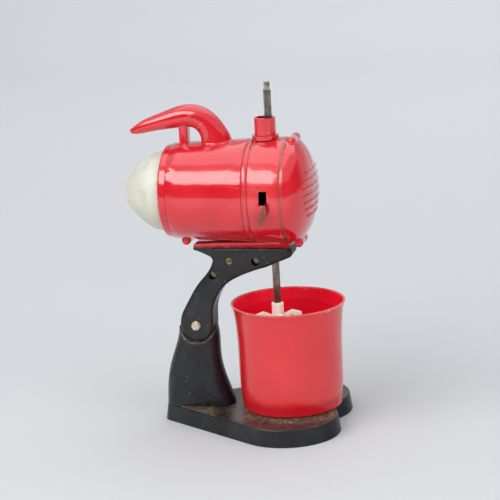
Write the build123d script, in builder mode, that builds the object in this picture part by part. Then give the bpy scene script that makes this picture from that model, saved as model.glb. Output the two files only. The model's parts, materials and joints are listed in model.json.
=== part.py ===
from build123d import *
import os
from math import acos, atan2, cos, pi, radians, sin, sqrt, tan

os.makedirs("parts", exist_ok=True)

# Clockwork toy stand mixer, in millimetres.
# +X points from the column to the bowl, +Y to the far side, +Z up. The origin lies on the
# table, under the middle of the overall length.

# Main places
spindle_x = 23.0          # beater spindle ahead of the overall middle
pivot_x = spindle_x - 47.15
pivot_z = 59.0

# Clearances
running = 0.05            # radial, a shaft in its hole
seat = 0.2                # between fixed pieces
free = 0.4                # between moving pieces
lift = 0.1                # under a piece that turns on a flat face

# Base plate
base_height = 10.0
base_wall = 2.4
base_top = 2.6
base_draft = 1.5          # the top is this much smaller all round
nose_r = 7.4              # rear nose, at the foot
nose_x = pivot_x - 16.1
lobe_r = 30.4             # the two round lobes under the bowl, at the foot
lobe_x = spindle_x + 7.0
lobe_y = 20.0
notch_r = 8.0             # notch between the lobes
base_edge_r = 0.9
rib_t = 1.6

# Column
column_foot_l = 40.8
column_foot_w = 18.6
column_corner_r = 8.5
column_wall = 2.4
column_top_z = pivot_z - 2.0
socket_r = 10.25
relief_reach = 11.2       # bevel inside the rear rim, where the arm comes down when it tips back
relief_l = 1.6
relief_h = 3.0
tongue_r = 7.5
tongue_w = 7.0
column_screw_r = 1.5
column_screw_spread = 17.0
column_screw_l = 13.0

# Pivot bolt
bolt_r = 1.5
bolt_head_across = 4.7
bolt_head_h = 1.6
bolt_tail = 1.0           # thread that shows past the nut
washer_r = 2.7
washer_t = 0.5

# Arm
arm_w = 16.4
arm_end_r = 9.75
arm_top_z = 105.4
arm_edge_r = 2.0
arm_wall = 2.2
arm_screw_r = 1.3
arm_screw_head_r = 2.1
arm_screw_head_h = 1.4
arm_boss_r = 3.4
deep_pocket = 4.2
arm_screw_places = [(spindle_x - 25.7, 97.4, 0.0),
                    (spindle_x - 35.8, 89.0, deep_pocket),
                    (spindle_x - 10.0, 97.3, deep_pocket)]
rod_way_r = 3.6
arm_nose_r = 3.2
arm_swing = 50.0          # how far the head tips back
web_clear = 5.0           # degrees left between the web and the tongue at that tilt
tail_t = 1.2              # thickness of the tail's tip
tail_root_z = 98.0
tail_bend = (spindle_x - 37.9, 100.8)
neck = (spindle_x - 36.8, 94.0)
throat = (spindle_x - 4.6, 93.5)
arm_front_bend = [(spindle_x - 19.5, 88.5), (spindle_x - 30.6, 81.2), (spindle_x - 36.1, 71.5)]
arm_rear_bend = [(spindle_x - 52.8, 71.0), (spindle_x - 44.3, 84.4)]

# Housing
wall = 1.8
barrel_rear_x = spindle_x - 55.8
dome_x = spindle_x + 11.7
barrel_front_r = 30.5
barrel_band_r = barrel_front_r - 0.8    # at the band
barrel_rear_r = barrel_front_r - 2.8    # at the rear end
dome_l = 14.0
groove_w = 0.7
groove_d = 0.6
ring_w = 2.0              # dished ring where the dome joins the barrel
ring_d = 0.7
parting_w = 0.6           # open seam between the two halves, round the dome
parting_d = 0.6
band_x = spindle_x - 11.9
band_w = 3.4
spigot_l = 4.0            # rear spigot that carries the bezel
spigot_r = 25.0
arbor_window_r = 6.0
louvre_count = 7
louvre_pitch = 4.1
louvre_h = 1.1
louvre_rise = 0.7
louvre_reach = 20.0
lug_r = 2.6
lug_l = 19.0
lug_places = [(spindle_x + 14.2, 1, -0.8), (spindle_x + 15.8, -1, 0.3), (spindle_x - 50.3, -1, 0.2)]
lug_screw_r = 1.0
lug_screw_head_r = 1.7
lug_screw_head_h = 1.2
rail_front_x = spindle_x + 11.0
rail_l = 57.0
rail_w = 16.0
rail_gap = 0.2            # shadow line between the rail and the arm
rail_h = 1.5              # rail that shows below the front of the barrel
tang_t = 4.0
tang_w = 8.4
tang_z = 94.2
slot_x = spindle_x + 0.9
slot_w = 4.7
slot_up = 1.1             # middle of the slot above the barrel's axis
slot_h = 8.0
slot_notch_w = 1.8
slot_notch_h = 2.0

# Handle, moulded with the housing. Each section: ahead of the spindle, above the barrel's top,
# slope, half height and half width
handle_sections = [(-81.0, 4.2, 24.0, 1.4, 1.4),
                   (-77.4, 5.3, 22.0, 2.7, 3.0),
                   (-70.2, 7.9, 17.0, 4.1, 4.7),
                   (-60.6, 10.4, 10.0, 5.2, 5.8),
                   (-50.6, 12.7, 1.0, 6.3, 6.3),
                   (-42.6, 12.6, -20.0, 6.7, 6.4),
                   (-36.0, 8.5, -47.0, 7.1, 6.5),
                   (-32.2, 2.3, -69.0, 8.1, 6.9),
                   (-31.2, -4.5, -84.0, 9.4, 7.6)]
handle_root_l = 24.0      # length over which the handle's root is cut off inside the wall
strut_x = spindle_x - 49.5
strut_l = 5.2
strut_w = 7.0
strut_corner_r = 1.2
strut_h = 14.0            # from inside the barrel's wall into the handle

# Bezel and winding knob
bezel_l = 4.8
bezel_r = 27.2
bezel_lip_r = 22.4
bezel_edge_r = 1.8
knob_r = 23.0
knob_l = 24.1
knob_wall = 2.2
knob_boss_r = 4.4
scallop_count = 6
scallop_r = 15.0
scallop_d = 1.9
scallop_tilt = 58.0

# Collar on top of the head
collar_x = spindle_x - 2.1
collar_r = 6.2
collar_bore_r = 4.9
collar_h = 11.5           # above the barrel's top
collar_flange_r = 7.7
collar_flange_h = 1.6
collar_depth = 4.0

# Clockwork
plate_t = 1.0
rear_plate_x = spindle_x - 46.0
front_plate_x = spindle_x - 25.0
plate_half_w = 20.5
pillar_r = 2.0
pillar_circle_r = 20.0
nut_r = 2.6
nut_h = 1.6
arbor_r = 2.5
arbor_square = 3.4
spring_w = 9.4
spring_t = 0.5
spring_pitch = 1.5
spring_turns = 6
spring_bore_r = 4.2
tooth_module = 0.8
great_teeth = 30
great_x = spindle_x - 31.0
wheel_t = 1.4
ratchet_teeth = 12
ratchet_r = 7.0
ratchet_t = 1.2
click_r = 9.6
click_t = 1.0
click_pin_at = (9.2, 3.9)
click_pin_r = 0.7
rivet_head_r = 1.0
rivet_head_h = 0.4
wheel_hole_r = 1.7
pinion_teeth = 8
pinion_face = 2.6
crown_teeth = 18
crown_web_t = 1.4
crown_shaft_r = 1.0
crown_end = 1.0           # shaft that stands out behind the rear plate
crown_hub_l = 1.6
crown_tooth_l = 1.8
crown_tooth_taper = 12
spindle_teeth = 12
spindle_face = 3.8
tooth_root = 1.05         # tooth width at the root
tooth_tip = 0.5
addendum = 0.6
dedendum = 0.9
tooth_gap = 0.2           # between the crown wheel's tips and the pinion's roots

# Spindle bracket, sleeve, rod and beater
bracket_t = 1.2
bracket_back_x = spindle_x - 12.0
bracket_reach = 6.6       # arms ahead of the spindle
bracket_w = 16.0
bracket_low_gap = 2.9     # under the lower arm, above the barrel's wall
bracket_rise = 15.0       # of the upper arm above the barrel's axis
bracket_post_r = 1.4
bracket_post_places = [(5.6, 10.0), (-5.6, 10.0), (5.6, -9.0), (-5.6, -9.0)]
sleeve_end = 0.6          # tube that stands out past each arm of the bracket
clip_t = 0.8
clip_w = 1.2
sleeve_r = 3.7
rod_across = 3.6
rod_turn = 25.0
rod_show = 20.4           # rod that stands out of the collar
rod_tip_l = 4.4
rod_tip_cut = 0.75
rod_grip = 22.0           # length of rod inside the beater's hub
hub_r = 3.45
hub_top_z = 71.2
beater_r = 13.6
beater_low_z = 18.9
blade_t = 2.6
blade_rim = 2.5
blade_pairs = 2
blade_turn = 20.0
shoulder_drop = 5.2       # top of the blades below the hub's top
shoulder_slope = 3.6
blade_foot = 9.0          # height over which the blades narrow at the foot
hub_foot = 1.8            # hub that stands out under the blades
hub_edge = 0.4

# Stop lever
lever_t = 1.0
lever_x = slot_x + slot_w / 2 - slot_notch_w / 2 - lever_t / 2
lever_pivot_y = -12.5
lever_pin_r = 1.0
lever_hub_r = 2.6
lever_ear_r = 3.4         # ear of the bracket that carries the pin
lever_tail_l = 4.2
lever_pin_head_r = 2.0
lever_pin_end = 1.6
lever_neck_h = 1.6
lever_drop = 9.0          # degrees below level at rest
lever_tab_y = -31.4
lever_tab_t = 0.8

# Bowl
bowl_x = spindle_x + 6.1
bowl_wall = 1.7
bowl_rim_r = 33.2
bowl_rim_z = 72.0
bowl_rim_slope = (0.5, 1)
bowl_neck_r = 31.0        # where the flare starts
bowl_neck_z = 61.0
bowl_foot_r = 28.9
bowl_foot_cut = 1.0       # bevel at the foot
bowl_floor_z = 13.0
bowl_step_z = 65.2        # small step inside, below the rim
rim_t = 1.2
socket_w = 1.6
spigot_bowl_r = 9.6
spigot_bowl_h = 2.4

# Worked out from the values above
head_z = arm_top_z + rail_gap + rail_h + barrel_front_r     # axis of the barrel, the spring and the knob
barrel_top_z = head_z + barrel_front_r
barrel_axis = Axis((0, 0, head_z), (1, 0, 0))
collar_top_z = barrel_top_z + collar_h
rod_top_z = collar_top_z + rod_show
slot_z = head_z + slot_up
bracket_low_z = head_z - barrel_front_r + wall + bracket_low_gap
bracket_high_z = head_z + bracket_rise
great_pitch_r = tooth_module * great_teeth / 2
pinion_pitch_r = tooth_module * pinion_teeth / 2
crown_pitch_r = tooth_module * crown_teeth / 2
spindle_pitch_r = tooth_module * spindle_teeth / 2
crown_z = head_z - great_pitch_r - pinion_pitch_r
rail_z = arm_top_z + rail_gap
bowl_foot_z = base_height + lift
bowl_side = [(bowl_foot_r, bowl_foot_z + bowl_foot_cut), (bowl_foot_r + 0.5, 17.0), (bowl_foot_r + 1.3, 43.0),
             (bowl_neck_r, bowl_neck_z), (bowl_rim_r, bowl_rim_z)]
half_arm = arm_w / 2
notch_x = lobe_x + sqrt((lobe_r + notch_r) ** 2 - lobe_y ** 2)
spring_outer_r = spring_bore_r + spring_turns * spring_pitch
pillar_y = spring_outer_r + spring_t / 2 + seat + pillar_r
pillar_z = sqrt(pillar_circle_r ** 2 - pillar_y ** 2)


def barrel_r(x):
    """Outer radius of the barrel at x: it widens to the band, then more gently to the dome."""
    if x < band_x:
        share = (x - barrel_rear_x) / (band_x - barrel_rear_x)
        return barrel_rear_r + share * (barrel_band_r - barrel_rear_r)
    share = (x - band_x) / (dome_x - band_x)
    return barrel_band_r + share * (barrel_front_r - barrel_band_r)


def dome_r(x):
    """Outer radius of the front dome at x."""
    return barrel_front_r * sqrt(1 - ((x - dome_x) / dome_l) ** 2)


def head_plane(x):
    """Plane across the barrel axis at x, with its own x along +Y and its own y up."""
    return Plane(origin=(x, 0, head_z), x_dir=(0, 1, 0), z_dir=(1, 0, 0))


def add_teeth(count, root_r, tip_r):
    """Draw a toothed disc with straight flanks in the open sketch."""
    Circle(root_r)
    with PolarLocations(0, count):
        Polygon((root_r - addendum, -tooth_root / 2), (tip_r, -tooth_tip / 2),
                (tip_r, tooth_tip / 2), (root_r - addendum, tooth_root / 2), align=None)


# Base plate: drafted sides, open underneath, two prongs at the front
column_screws_x = [pivot_x - 0.6 - column_screw_spread / 2, pivot_x - 0.6 + column_screw_spread / 2]
screw_boss_r = column_screw_r + 2.4


def arc_mid(x, y, r, start, end):
    """Point half way along an arc about (x, y)."""
    return (x + r * cos((start + end) / 2), y + r * sin((start + end) / 2))


def base_line(grow):
    """Closed outline of the plate, larger all round than at the foot by grow."""
    nose, lobe, notch = nose_r + grow, lobe_r + grow, notch_r - grow
    apart = sqrt((lobe_x - nose_x) ** 2 + lobe_y ** 2)
    side = atan2(lobe_y, lobe_x - nose_x) + acos((nose_r - lobe_r) / apart)
    inward = atan2(-lobe_y, notch_x - lobe_x)
    nose_side = (nose_x + nose * cos(side), nose * sin(side))
    lobe_side = (lobe_x + lobe * cos(side), lobe_y + lobe * sin(side))
    lobe_in = (lobe_x + lobe * cos(inward), lobe_y + lobe * sin(inward))
    with BuildLine() as outline:
        ThreePointArc((nose_x - nose, 0), arc_mid(nose_x, 0, nose, pi, side), nose_side)
        Line(nose_side, lobe_side)
        ThreePointArc(lobe_side, arc_mid(lobe_x, lobe_y, lobe, side, inward), lobe_in)
        ThreePointArc(lobe_in, arc_mid(notch_x, 0, notch, inward + pi, pi), (notch_x - notch, 0))
        mirror(about=Plane.XZ)
    return outline.line


with BuildPart() as base:
    for z, grow in ((0, 0), (base_height, -base_draft)):
        with BuildSketch(Plane.XY.offset(z)):
            with BuildLine():
                add(base_line(grow))
            make_face()
    loft(ruled=True)
    fillet(base.edges().group_by(Axis.Z)[-1], base_edge_r)
    hollow_h = base_height - base_top
    for z, grow in ((0, -base_wall), (hollow_h, -base_wall - base_draft * hollow_h / base_height)):
        with BuildSketch(Plane.XY.offset(z)):
            with BuildLine():
                add(base_line(grow))
            make_face()
    loft(ruled=True, mode=Mode.SUBTRACT)
    with BuildSketch():
        with Locations((bowl_x, 0)):
            Rectangle(rib_t, 2 * (lobe_y + lobe_r - base_wall))
        with Locations(((nose_x + bowl_x) / 2, 0)):
            Rectangle(bowl_x - nose_x, rib_t)
        for x in column_screws_x:
            with Locations((x, 0)):
                Circle(screw_boss_r)
        with Locations((bowl_x, 0)):
            Circle(spigot_bowl_r - seat)
    extrude(amount=base_height - base_top)
    with BuildSketch(Plane.XY.offset(base_height)):
        with Locations((bowl_x, 0)):
            Circle(spigot_bowl_r)
    extrude(amount=spigot_bowl_h)
    for x in column_screws_x:
        with Locations(Location((x, 0, 0), (180, 0, 0))):
            CounterBoreHole(column_screw_r + running, screw_boss_r - 1.2, base_height - base_top - 2.4)
base.part.label = "base"
export_step(base.part, "parts/base.step")

# Column: flared rounded-rectangle sections, a round socket on top and the tongue of the joint
column_sections = [(base_height, 0.0, 1.0, 1.0),
                   (20.0, -1.1, 0.915, 0.995),
                   (33.0, -1.9, 0.765, 0.99),
                   (45.0, -0.3, 0.645, 0.985),
                   (column_top_z, 0.7, 0.555, 0.975)]
column_foot_x = pivot_x - 1.3
root_z = pivot_z - 1.5     # shoulder that stops the arm at rest


with BuildPart() as column:
    for z, lean, long_share, wide_share in column_sections:
        with BuildSketch(Plane.XY.offset(z)):
            with Locations((column_foot_x + lean, 0)):
                RectangleRounded(column_foot_l * long_share, column_foot_w * wide_share, column_corner_r)
    loft()
    for z, lean, long_share, wide_share in column_sections[:3]:
        with BuildSketch(Plane.XY.offset(z)):
            with Locations((column_foot_x + lean, 0)):
                RectangleRounded(column_foot_l * long_share - 2 * column_wall,
                                 column_foot_w * wide_share - 2 * column_wall,
                                 column_corner_r - column_wall)
    loft(mode=Mode.SUBTRACT)
    with BuildSketch(Plane.XZ):
        with Locations((pivot_x, pivot_z)):
            Circle(socket_r)
    extrude(amount=column_foot_w, both=True, mode=Mode.SUBTRACT)
    with BuildSketch(Plane.XZ):
        Polygon((pivot_x - relief_reach, column_top_z),
                (pivot_x - relief_reach + relief_l, column_top_z - relief_h),
                (pivot_x, column_top_z - relief_h), (pivot_x, column_top_z), align=None)
    extrude(amount=column_foot_w, both=True, mode=Mode.SUBTRACT)
    with BuildSketch(Plane.XZ):
        with Locations((pivot_x, pivot_z)):
            Circle(tongue_r)
            Circle(socket_r + running)
            Rectangle(4 * socket_r, 4 * socket_r, align=(Align.CENTER, Align.MIN), mode=Mode.SUBTRACT)
            Rectangle(4 * socket_r, pivot_z - root_z, align=(Align.CENTER, Align.MAX), mode=Mode.SUBTRACT)
            Circle(tongue_r)
            Circle(bolt_r + running, mode=Mode.SUBTRACT)
    extrude(amount=tongue_w / 2, both=True)
    with BuildSketch(Plane.XY.offset(base_height)):
        for x in column_screws_x:
            with Locations((x, 0)):
                Circle(screw_boss_r)
                Rectangle(rib_t, column_foot_w - column_wall)
    extrude(amount=column_screw_l)
    with BuildSketch(Plane.XY.offset(base_height)):
        for x in column_screws_x:
            with Locations((x, 0)):
                Circle(column_screw_r + running)
    extrude(amount=column_screw_l - 1.5, mode=Mode.SUBTRACT)
column.part.label = "column"
export_step(column.part, "parts/column.step")

# Two screws hold the column from below
screw_head_z = base_height - base_top - 2.4
with BuildPart() as column_screws:
    for x in column_screws_x:
        with BuildSketch(Plane.XY.offset(screw_head_z)):
            with Locations((x, 0)):
                Circle(column_screw_r)
        extrude(amount=column_screw_l)
        with BuildSketch(Plane.XY.offset(screw_head_z)):
            with Locations((x, 0)):
                Circle(screw_boss_r - 1.2 - seat)
                Rectangle(2 * column_screw_r, 0.8, mode=Mode.SUBTRACT)
        extrude(amount=-1.6)
column_screws.part.label = "column_screws"
export_step(column_screws.part, "parts/column_screws.step")

# Pivot bolt: hexagonal head on the near side, washers and a nut on the far side
bolt_out = half_arm + lift
with BuildPart() as pivot_bolt:
    with BuildSketch(Plane.XZ.offset(bolt_out + washer_t)):
        with Locations((pivot_x, pivot_z)):
            Circle(bolt_r)
    extrude(amount=-(2 * bolt_out + 2 * washer_t + bolt_head_h + bolt_tail))
    with BuildSketch(Plane.XZ.offset(bolt_out + washer_t)):
        with Locations((pivot_x, pivot_z)):
            RegularPolygon(bolt_head_across / 2, 6, major_radius=False)
    extrude(amount=bolt_head_h)
    chamfer(pivot_bolt.faces().sort_by(Axis.Y)[0].edges(), 0.3)
pivot_bolt.part.label = "pivot_bolt"
export_step(pivot_bolt.part, "parts/pivot_bolt.step")

with BuildPart() as pivot_washers:
    for start in (bolt_out, -(bolt_out + washer_t)):
        with BuildSketch(Plane.XZ.offset(start)):
            with Locations((pivot_x, pivot_z)):
                Circle(washer_r)
                Circle(bolt_r + running, mode=Mode.SUBTRACT)
        extrude(amount=washer_t)
pivot_washers.part.label = "pivot_washers"
export_step(pivot_washers.part, "parts/pivot_washers.step")

with BuildPart() as pivot_nut:
    with BuildSketch(Plane.XZ.offset(-(bolt_out + washer_t))):
        with Locations((pivot_x, pivot_z)):
            RegularPolygon(bolt_head_across / 2, 6, major_radius=False)
            Circle(bolt_r + running, mode=Mode.SUBTRACT)
    extrude(amount=-bolt_head_h)
pivot_nut.part.label = "pivot_nut"
export_step(pivot_nut.part, "parts/pivot_nut.step")

# Arm: two moulded halves that fork over the tongue and clamp the head's tangs
nose_centre = (spindle_x + 8.3, arm_top_z - arm_nose_r)
tail_tip = (spindle_x - 46.4, arm_top_z)
tail_root = (neck[0] + 1.4, tail_root_z)

with BuildSketch(Plane.XZ) as arm_outline:
    with BuildLine():
        Line((neck[0] + 2.0, arm_top_z), (nose_centre[0], arm_top_z))
        ThreePointArc((nose_centre[0], arm_top_z), (nose_centre[0] + arm_nose_r, nose_centre[1]),
                      (nose_centre[0] + 1.2, nose_centre[1] - 0.93 * arm_nose_r))
        Line((nose_centre[0] + 1.2, nose_centre[1] - 0.93 * arm_nose_r), throat)
        Spline(throat, *arm_front_bend, (pivot_x + arm_end_r, pivot_z), tangents=((-1, -0.25), (0, -1)))
        ThreePointArc((pivot_x + arm_end_r, pivot_z), (pivot_x, pivot_z - arm_end_r),
                      (pivot_x - arm_end_r, pivot_z))
        Spline((pivot_x - arm_end_r, pivot_z), *arm_rear_bend, neck, tangents=((0, 1), (0.5, 1)))
        ThreePointArc(neck, tail_root, (neck[0] + 2.0, arm_top_z))
    make_face()

with BuildSketch(Plane.XZ) as arm_tail:
    with BuildLine():
        Line((neck[0] + 2.0, arm_top_z), tail_tip)
        Line(tail_tip, (tail_tip[0], arm_top_z - tail_t))
        Spline((tail_tip[0], arm_top_z - tail_t), tail_bend, tail_root, tangents=((1, -0.25), (0.1, -1)))
        Line(tail_root, (neck[0] + 4.0, tail_root_z))
        Line((neck[0] + 4.0, tail_root_z), (neck[0] + 2.0, arm_top_z))
    make_face()

with BuildSketch(Plane.XZ) as arm_cavity:
    with BuildLine():
        Polyline((spindle_x - 33.4, arm_top_z - arm_wall), (spindle_x - 5.6, arm_top_z - arm_wall),
                 (spindle_x - 5.6, 95.6), (spindle_x - 18.5, 91.2), (spindle_x - 29.0, 84.6),
                 (spindle_x - 33.4, 90.0), close=True)
    make_face()
    fillet(arm_cavity.vertices(), 1.0)
    for x, z, depth in arm_screw_places:
        with Locations((x, z)):
            Circle(arm_boss_r, mode=Mode.SUBTRACT)


def arm_half(side):
    """One arm half, on the near side (1) or the far side (-1)."""
    with BuildPart() as half:
        with BuildSketch(Plane.XZ):
            add(arm_outline.sketch)
        extrude(amount=side * half_arm)
        outer = half.faces().sort_by(Axis.Y)[0 if side > 0 else -1]
        fillet(outer.edges(), arm_edge_r)
        with BuildSketch(Plane.XZ):
            add(arm_tail.sketch)
        extrude(amount=side * (half_arm - tail_t / 2))
        with BuildSketch(Plane.XZ):
            add(arm_cavity.sketch)
        extrude(amount=side * (half_arm - arm_wall), mode=Mode.SUBTRACT)
        recess_r = tongue_r + free
        reach = 3 * arm_end_r
        with BuildSketch(Plane.XZ):
            with Locations((pivot_x, pivot_z)):
                Circle(recess_r)
            with BuildLine():
                web_end = (pivot_x + reach, root_z + free / 2)
                back = radians(180 - arm_swing - web_clear)
                Polyline((pivot_x, root_z + free / 2), web_end, (pivot_x + reach, pivot_z - reach),
                         (pivot_x - reach, pivot_z - reach),
                         (pivot_x - reach, pivot_z + reach * tan(pi - back)), (pivot_x, pivot_z), close=True)
            make_face()
        extrude(amount=side * (tongue_w / 2 + free / 2), mode=Mode.SUBTRACT)
        for x, z, depth in arm_screw_places:
            with BuildSketch(Plane.XZ):
                with Locations((x, z)):
                    Circle(arm_screw_r + running)
            extrude(amount=side * (half_arm if side > 0 else half_arm - 1.6), mode=Mode.SUBTRACT)
            if side > 0:
                with BuildSketch(Plane.XZ.offset(half_arm)):
                    with Locations((x, z)):
                        Circle(arm_screw_head_r + running)
                extrude(amount=-(depth + arm_screw_head_h), mode=Mode.SUBTRACT)
        with BuildSketch(Plane.XZ):
            with Locations((pivot_x, pivot_z)):
                Circle(bolt_r + running)
        extrude(amount=side * half_arm, mode=Mode.SUBTRACT)
        for x, z in tang_places:
            with BuildSketch(Plane.XZ):
                with Locations((x, z - seat)):
                    Rectangle(tang_w + 2 * seat, arm_top_z - z + 3 * seat, align=(Align.CENTER, Align.MIN))
            extrude(amount=side * (tang_t / 2 + seat), mode=Mode.SUBTRACT)
        with BuildSketch(Plane.XY.offset(pivot_z)):
            with Locations((spindle_x, 0)):
                Circle(rod_way_r)
        extrude(amount=head_z - pivot_z, mode=Mode.SUBTRACT)
    return half.part


tang_places = [(arm_screw_places[0][0], tang_z), (arm_screw_places[2][0] - 0.6, tang_z)]

with BuildPart() as arm_near:
    add(arm_half(1))
arm_near.part.label = "arm_near"
export_step(arm_near.part, "parts/arm_near.step")

with BuildPart() as arm_far:
    add(arm_half(-1))
arm_far.part.label = "arm_far"
export_step(arm_far.part, "parts/arm_far.step")

with BuildPart() as arm_screws:
    for x, z, depth in arm_screw_places:
        under_head = half_arm - depth - arm_screw_head_h
        with BuildSketch(Plane.XZ.offset(under_head)):
            with Locations((x, z)):
                Circle(arm_screw_head_r)
        extrude(amount=arm_screw_head_h - 0.2)
        with BuildSketch(Plane.XZ.offset(under_head)):
            with Locations((x, z)):
                Circle(arm_screw_r)
        extrude(amount=-(under_head + half_arm - 2.2))
        with BuildSketch(Plane.XZ.offset(under_head + arm_screw_head_h - 0.2)):
            with Locations((x, z)):
                Rectangle(2.2 * arm_screw_head_r, 0.7)
        extrude(amount=-0.6, mode=Mode.SUBTRACT)
arm_screws.part.label = "arm_screws"
export_step(arm_screws.part, "parts/arm_screws.step")

# Housing: a barrel with a domed front, moulded in two halves that meet on the middle plane
spigot_x = barrel_rear_x - spigot_l
cavity_x = barrel_rear_x + wall


def inner_r(x):
    """Inner radius of the barrel at x."""
    return barrel_r(x) - wall


with BuildSketch(Plane.XZ) as housing_profile:
    with BuildLine():
        Polyline((barrel_rear_x, head_z), (barrel_rear_x, head_z + spigot_r - wall),
                 (spigot_x, head_z + spigot_r - wall), (spigot_x, head_z + spigot_r),
                 (barrel_rear_x, head_z + spigot_r), (barrel_rear_x, head_z + barrel_rear_r),
                 (band_x, head_z + barrel_band_r), (dome_x, head_z + barrel_front_r))
        EllipticalCenterArc((dome_x, head_z), dome_l, barrel_front_r)
        Line((dome_x + dome_l, head_z), (barrel_rear_x, head_z))
    make_face()
    with BuildLine():
        Polyline((cavity_x, head_z), (cavity_x, head_z + inner_r(cavity_x)),
                 (band_x, head_z + inner_r(band_x)), (dome_x, head_z + inner_r(dome_x)))
        EllipticalCenterArc((dome_x, head_z), dome_l - wall, inner_r(dome_x))
        Line((dome_x + dome_l - wall, head_z), (cavity_x, head_z))
    make_face(mode=Mode.SUBTRACT)
    for x, groove_l, depth in ((band_x, groove_w, groove_d), (band_x + band_w, groove_w, groove_d),
                               (dome_x - ring_w, ring_w, ring_d)):
        with Locations((x, head_z + barrel_r(x) - depth)):
            Rectangle(groove_l, 2 * depth, align=(Align.MIN, Align.MIN), mode=Mode.SUBTRACT)

with BuildPart() as louvres:
    for i in range(louvre_count):
        out = (i - (louvre_count - 1) / 2) * louvre_pitch
        low = sqrt(1 - (out / barrel_front_r) ** 2)
        length = 2 * louvre_reach * sqrt(1 - (out / (louvre_count * louvre_pitch * 0.6)) ** 2)
        with BuildSketch(Plane.XY.offset(head_z + out - louvre_h / 2)):
            with Locations((dome_x, 0)):
                Ellipse(dome_l * low + louvre_rise, barrel_front_r * low + louvre_rise)
                Ellipse(dome_l * low - wall / 2, barrel_front_r * low - wall / 2, mode=Mode.SUBTRACT)
                Rectangle(4 * dome_l, length, align=(Align.MIN, Align.CENTER), mode=Mode.INTERSECT)
        extrude(amount=louvre_h)

with BuildPart() as handle:
    for x, up, slope, half_h, half_w in handle_sections:
        turn = radians(slope)
        with BuildSketch(Plane(origin=(spindle_x + x, 0, barrel_top_z + up), x_dir=(0, 1, 0),
                               z_dir=(cos(turn), 0, sin(turn)))):
            Ellipse(half_w, half_h)
    loft()
    root_x = spindle_x + handle_sections[-1][0]
    with BuildSketch(head_plane(root_x - handle_root_l / 2)):
        Circle(barrel_r(root_x) - wall / 2)
    extrude(amount=handle_root_l, mode=Mode.SUBTRACT)
    with BuildSketch(Plane.XY.offset(head_z + inner_r(strut_x) + 0.5)):
        with Locations((strut_x, 0)):
            RectangleRounded(strut_l, strut_w, strut_corner_r)
    extrude(amount=strut_h)

lug_axes = []
for x, up, proud in lug_places:
    surface = dome_r(x) if x > dome_x else barrel_r(x)
    lug_axes.append((x, head_z + up * (surface + proud)))

with BuildPart() as housing:
    with BuildSketch(Plane.XZ):
        add(housing_profile.sketch)
    revolve(axis=barrel_axis)
    add(louvres.part)
    add(handle.part)
    with BuildSketch(Plane.XZ):
        with Locations((rail_front_x, rail_z)):
            Rectangle(rail_l, head_z - inner_r(rail_front_x) - rail_z - 0.4, align=(Align.MAX, Align.MIN))
        chamfer(vertices().sort_by(Axis.X)[0], 1.5)
    extrude(amount=rail_w / 2, both=True)
    for x, z in tang_places:
        with BuildSketch(Plane.XZ):
            with Locations((x, z)):
                Rectangle(tang_w, rail_z - z + 1.0, align=(Align.CENTER, Align.MIN))
        extrude(amount=tang_t / 2, both=True)
    for x, z, depth in (arm_screw_places[0], arm_screw_places[2]):
        with BuildSketch(Plane.XZ):
            with Locations((x, z)):
                Circle(arm_screw_r + running)
        extrude(amount=tang_t, both=True, mode=Mode.SUBTRACT)
    with BuildSketch(Plane.XZ):
        with Locations((dome_x, head_z)):
            Ellipse(dome_l + parting_d, barrel_front_r + parting_d)
            Ellipse(dome_l - parting_d, barrel_front_r - parting_d, mode=Mode.SUBTRACT)
            Rectangle(2 * dome_l, 3 * barrel_front_r, align=(Align.MIN, Align.CENTER), mode=Mode.INTERSECT)
    extrude(amount=parting_w / 2, both=True, mode=Mode.SUBTRACT)
    for x, z in lug_axes:
        with BuildSketch(Plane.XY.offset(z)):
            with Locations((x, 0)):
                SlotOverall(lug_l, 2 * lug_r, rotation=90)
                Rectangle(lug_r, lug_l, align=(Align.MAX, Align.CENTER), mode=Mode.SUBTRACT)
        revolve(axis=Axis((x, 0, z), (0, 1, 0)))
        with BuildSketch(Plane.XZ.offset(-lug_l / 2 - 1)):
            with Locations((x, z)):
                Circle(lug_screw_head_r + running)
        extrude(amount=lug_screw_head_h + 2, mode=Mode.SUBTRACT)
        with BuildSketch(Plane.XZ.offset(-lug_l / 2)):
            with Locations((x, z)):
                Circle(lug_screw_r + running)
        extrude(amount=lug_l - 3, mode=Mode.SUBTRACT)
    with BuildSketch(Plane.YZ.offset(spigot_x)):
        with Locations((0, head_z)):
            Circle(arbor_window_r)
    extrude(amount=2 * spigot_l, mode=Mode.SUBTRACT)
    with BuildSketch(Plane.XZ.offset(barrel_rear_r - 2 * wall)):
        with Locations((slot_x, slot_z)):
            Rectangle(slot_w, slot_h)
        with Locations((slot_x + slot_w / 2, slot_z - slot_h / 2)):
            Rectangle(slot_notch_w, slot_notch_h, align=(Align.MAX, Align.MAX))
    extrude(amount=4 * wall, mode=Mode.SUBTRACT)
    with BuildSketch(Plane.XY.offset(head_z)):
        with Locations((collar_x, 0)):
            Circle(collar_r + running)
    extrude(amount=collar_top_z - head_z, mode=Mode.SUBTRACT)
    with BuildSketch(Plane.XY.offset(arm_top_z)):
        with Locations((spindle_x, 0)):
            Circle(rod_way_r)
    extrude(amount=barrel_rear_r / 2, mode=Mode.SUBTRACT)

with BuildPart() as housing_near:
    add(housing.part)
    split(bisect_by=Plane.XZ, keep=Keep.TOP)
housing_near.part.label = "housing_near"
export_step(housing_near.part, "parts/housing_near.step")

with BuildPart() as housing_far:
    add(housing.part)
    split(bisect_by=Plane.XZ, keep=Keep.BOTTOM)
housing_far.part.label = "housing_far"
export_step(housing_far.part, "parts/housing_far.step")

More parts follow.
